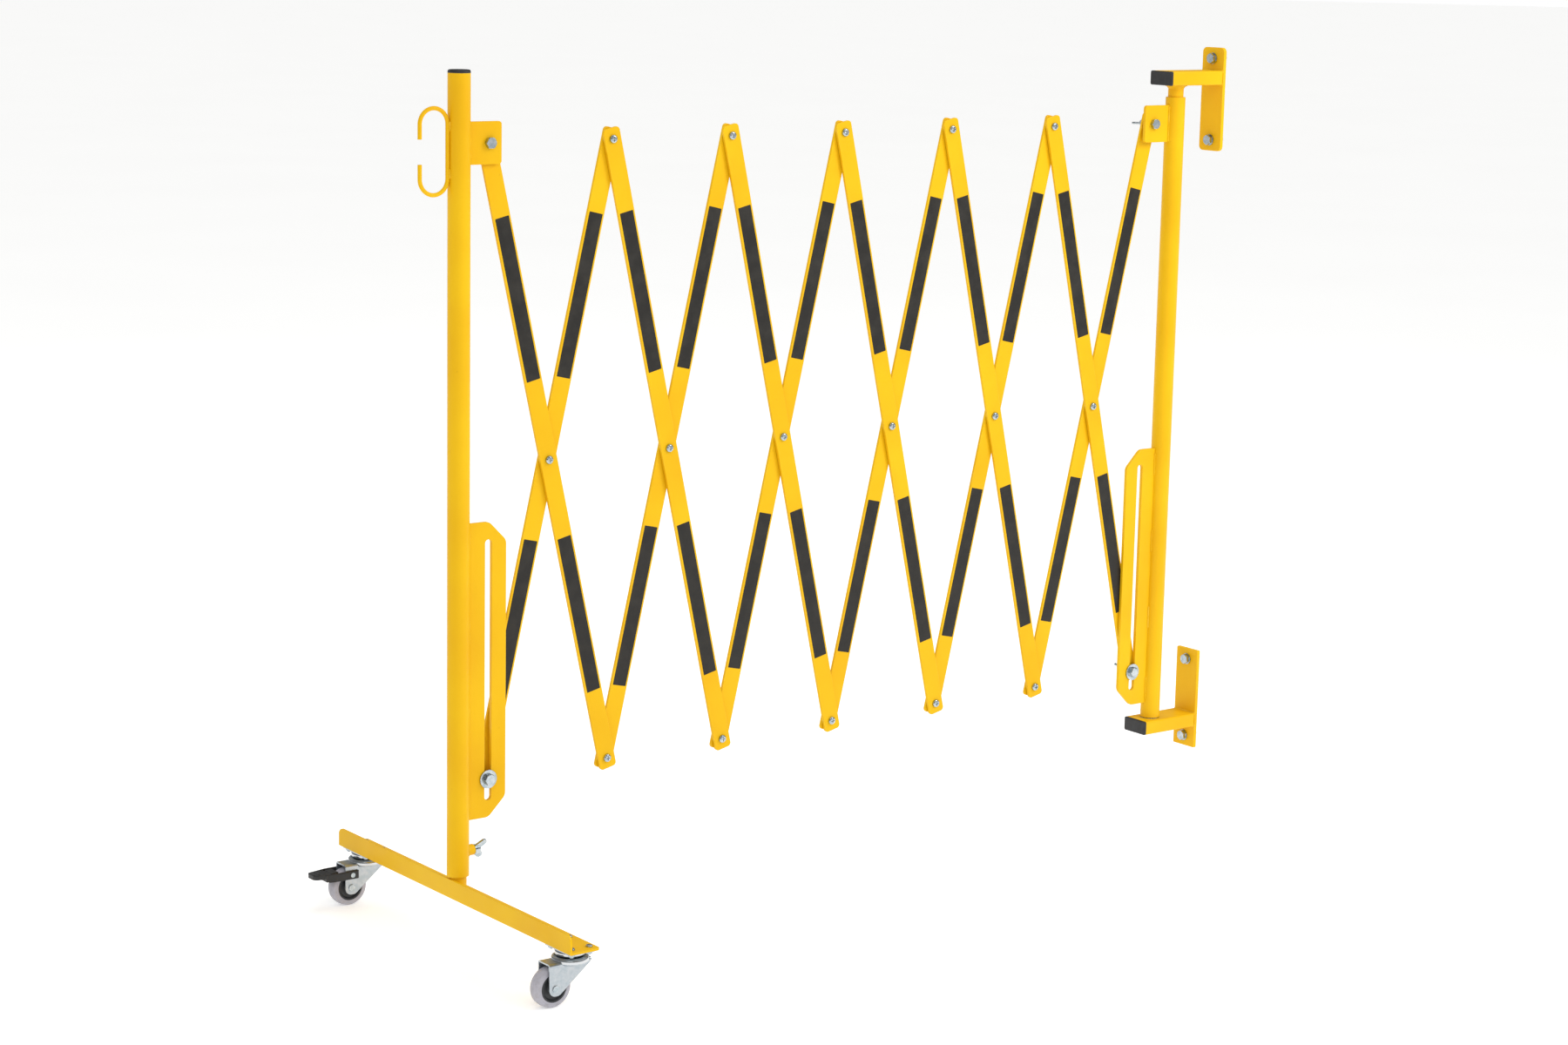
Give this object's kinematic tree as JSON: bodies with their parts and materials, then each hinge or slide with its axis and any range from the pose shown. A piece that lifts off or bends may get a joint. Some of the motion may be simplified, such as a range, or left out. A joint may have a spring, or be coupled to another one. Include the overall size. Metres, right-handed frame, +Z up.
{
  "type": "wall-mounted expanding barrier",
  "caption": "Wall-mounted trellis barrier of crossed flat bars that folds like a scissor, with a swinging wall post and a mobile post on a foot bar with swivel casters.",
  "frame": {"origin": "midpoint of the lower wall plate's two bolts, on the wall plane (the floor is 164 mm below it)", "axes": "+X along the trellis into the wall, +Y away from the side with the bolt heads, +Z up"},
  "size_m": [1.3539, 0.556, 1.1185],
  "materials": {
    "yellow_paint": "satin powder coat, golden yellow",
    "black_plastic": "moulded black plastic",
    "zinc": "bright zinc plate",
    "tyre_rubber": "light grey non-marking rubber"
  },
  "bodies": {
    "wall_brackets": {"upper_wall_plate": "yellow_paint", "lower_wall_plate": "yellow_paint", "wall_bolts": "zinc", "upper_arm": "yellow_paint", "lower_arm": "yellow_paint", "upper_arm_cap": "black_plastic", "lower_arm_cap": "black_plastic", "upper_spigot": "yellow_paint", "lower_spigot": "yellow_paint", "wall_post_washer": "zinc"},
    "wall_post": {"wall_post_tube": "yellow_paint", "wall_post_ear": "yellow_paint", "wall_post_slot_plate": "yellow_paint", "wall_ear_bolt": "zinc"},
    "wall_ear_wing_nut": {"wall_ear_wing_nut": "zinc"},
    "wall_slot_wing_nut": {"wall_slot_wing_nut": "zinc"},
    "front_bar_1": {"front_bar_1": "yellow_paint", "pivot_fasteners_1": "zinc"},
    "rear_bar_1": {"rear_bar_1": "yellow_paint", "mobile_slot_bolt": "zinc"},
    "front_bar_2": {"front_bar_2": "yellow_paint", "pivot_fasteners_2": "zinc"},
    "rear_bar_2": {"rear_bar_2": "yellow_paint"},
    "front_bar_3": {"front_bar_3": "yellow_paint", "pivot_fasteners_3": "zinc"},
    "rear_bar_3": {"rear_bar_3": "yellow_paint"},
    "front_bar_4": {"front_bar_4": "yellow_paint", "pivot_fasteners_4": "zinc"},
    "rear_bar_4": {"rear_bar_4": "yellow_paint"},
    "front_bar_5": {"front_bar_5": "yellow_paint", "pivot_fasteners_5": "zinc"},
    "rear_bar_5": {"rear_bar_5": "yellow_paint"},
    "front_bar_6": {"front_bar_6": "yellow_paint", "pivot_fasteners_6": "zinc", "wall_slot_bolt": "zinc"},
    "rear_bar_6": {"rear_bar_6": "yellow_paint"},
    "mobile_post": {"mobile_post_tube": "yellow_paint", "mobile_post_cap": "black_plastic", "mobile_post_ear": "yellow_paint", "mobile_post_slot_plate": "yellow_paint", "cable_hook": "yellow_paint", "clamp_boss": "yellow_paint", "mobile_ear_bolt": "zinc"},
    "clamp_screw": {"clamp_screw": "zinc"},
    "foot": {"foot_spigot": "yellow_paint", "foot_bar": "yellow_paint", "caster_bolts": "zinc", "front_caster_plate": "zinc", "rear_caster_plate": "zinc"},
    "front_caster": {"front_fork": "zinc", "front_axle": "zinc"},
    "rear_caster": {"rear_fork": "zinc", "rear_axle": "zinc", "brake_pins": "zinc"},
    "front_wheel": {"front_hub": "black_plastic", "front_tyre": "tyre_rubber"},
    "rear_wheel": {"rear_hub": "black_plastic", "rear_tyre": "tyre_rubber"},
    "brake_pedal": {"brake_pedal": "black_plastic"}
  },
  "joints": [
    {"name": "wall_post_swing", "type": "hinge", "parent": "wall_brackets", "child": "wall_post", "pos_m": [-0.076, 0, -0.021], "axis": [0, 0, 1], "range_deg": [-90, 90]},
    {"name": "fold", "type": "hinge", "parent": "wall_post", "child": "rear_bar_6", "pos_m": [-0.118, 0, 0.8475], "axis": [0, 1, 0], "range_deg": [-10, 39.5]},
    {"name": "pivot_bottom_5", "type": "hinge", "parent": "rear_bar_6", "child": "front_bar_5", "pos_m": [-0.30156, 0, 0.05241], "axis": [0, 1, 0], "range_deg": [-79, 20]},
    {"name": "pivot_top_4", "type": "hinge", "parent": "front_bar_5", "child": "rear_bar_4", "pos_m": [-0.48512, 0, 0.8475], "axis": [0, 1, 0], "range_deg": [-20, 79]},
    {"name": "pivot_bottom_3", "type": "hinge", "parent": "rear_bar_4", "child": "front_bar_3", "pos_m": [-0.66868, 0, 0.05241], "axis": [0, 1, 0], "range_deg": [-79, 20]},
    {"name": "pivot_top_2", "type": "hinge", "parent": "front_bar_3", "child": "rear_bar_2", "pos_m": [-0.85224, 0, 0.8475], "axis": [0, 1, 0], "range_deg": [-20, 79]},
    {"name": "pivot_bottom_1", "type": "hinge", "parent": "rear_bar_2", "child": "front_bar_1", "pos_m": [-1.0358, 0, 0.05241], "axis": [0, 1, 0], "range_deg": [-79, 20]},
    {"name": "mobile_post_pivot", "type": "hinge", "parent": "front_bar_1", "child": "mobile_post", "pos_m": [-1.21936, 0, 0.8475], "axis": [0, 1, 0], "range_deg": [-10, 39.5]},
    {"name": "cross_6", "type": "hinge", "parent": "rear_bar_6", "child": "front_bar_6", "pos_m": [-0.20978, 0, 0.44996], "axis": [0, 1, 0], "range_deg": [-79, 20]},
    {"name": "cross_5", "type": "hinge", "parent": "front_bar_5", "child": "rear_bar_5", "pos_m": [-0.39334, 0, 0.44996], "axis": [0, 1, 0], "range_deg": [-20, 79]},
    {"name": "cross_4", "type": "hinge", "parent": "rear_bar_4", "child": "front_bar_4", "pos_m": [-0.5769, 0, 0.44996], "axis": [0, 1, 0], "range_deg": [-79, 20]},
    {"name": "cross_3", "type": "hinge", "parent": "front_bar_3", "child": "rear_bar_3", "pos_m": [-0.76046, 0, 0.44996], "axis": [0, 1, 0], "range_deg": [-20, 79]},
    {"name": "cross_2", "type": "hinge", "parent": "rear_bar_2", "child": "front_bar_2", "pos_m": [-0.94402, 0, 0.44996], "axis": [0, 1, 0], "range_deg": [-79, 20]},
    {"name": "cross_1", "type": "hinge", "parent": "front_bar_1", "child": "rear_bar_1", "pos_m": [-1.12758, 0, 0.44996], "axis": [0, 1, 0], "range_deg": [-20, 79]},
    {"name": "wall_ear_nut_turn", "type": "hinge", "parent": "wall_post", "child": "wall_ear_wing_nut", "pos_m": [-0.118, 0, 0.8475], "axis": [0, 1, 0], "continuous": true},
    {"name": "wall_slot_nut_turn", "type": "hinge", "parent": "front_bar_6", "child": "wall_slot_wing_nut", "pos_m": [-0.118, 0, 0.05241], "axis": [0, 1, 0], "continuous": true},
    {"name": "foot_turn", "type": "hinge", "parent": "mobile_post", "child": "foot", "pos_m": [-1.26136, 0, -0.0665], "axis": [0, 0, 1], "range_deg": [-90, 90]},
    {"name": "clamp_screw_turn", "type": "hinge", "parent": "mobile_post", "child": "clamp_screw", "pos_m": [-1.26136, 0, -0.0365], "axis": [1, 0, 0], "continuous": true},
    {"name": "front_caster_swivel", "type": "hinge", "parent": "foot", "child": "front_caster", "pos_m": [-1.25386, -0.245, -0.108], "axis": [0, 0, 1], "continuous": true},
    {"name": "front_wheel_spin", "type": "hinge", "parent": "front_caster", "child": "front_wheel", "pos_m": [-1.28186, -0.245, -0.1395], "axis": [0, 1, 0], "continuous": true},
    {"name": "rear_caster_swivel", "type": "hinge", "parent": "foot", "child": "rear_caster", "pos_m": [-1.25386, 0.245, -0.108], "axis": [0, 0, 1], "continuous": true},
    {"name": "rear_wheel_spin", "type": "hinge", "parent": "rear_caster", "child": "rear_wheel", "pos_m": [-1.28186, 0.245, -0.1395], "axis": [0, 1, 0], "continuous": true},
    {"name": "brake_pedal_press", "type": "hinge", "parent": "rear_caster", "child": "brake_pedal", "pos_m": [-1.28186, 0.245, -0.1215], "axis": [0, 1, 0], "range_deg": [-12, 0]}
  ],
  "couplings": [
    {"joint": "pivot_bottom_5", "follows": "fold", "ratio": -2},
    {"joint": "pivot_top_4", "follows": "fold", "ratio": 2},
    {"joint": "pivot_bottom_3", "follows": "fold", "ratio": -2},
    {"joint": "pivot_top_2", "follows": "fold", "ratio": 2},
    {"joint": "pivot_bottom_1", "follows": "fold", "ratio": -2},
    {"joint": "mobile_post_pivot", "follows": "fold", "ratio": 1},
    {"joint": "cross_6", "follows": "fold", "ratio": -2},
    {"joint": "cross_5", "follows": "fold", "ratio": 2},
    {"joint": "cross_4", "follows": "fold", "ratio": -2},
    {"joint": "cross_3", "follows": "fold", "ratio": 2},
    {"joint": "cross_2", "follows": "fold", "ratio": -2},
    {"joint": "cross_1", "follows": "fold", "ratio": 2}
  ]
}
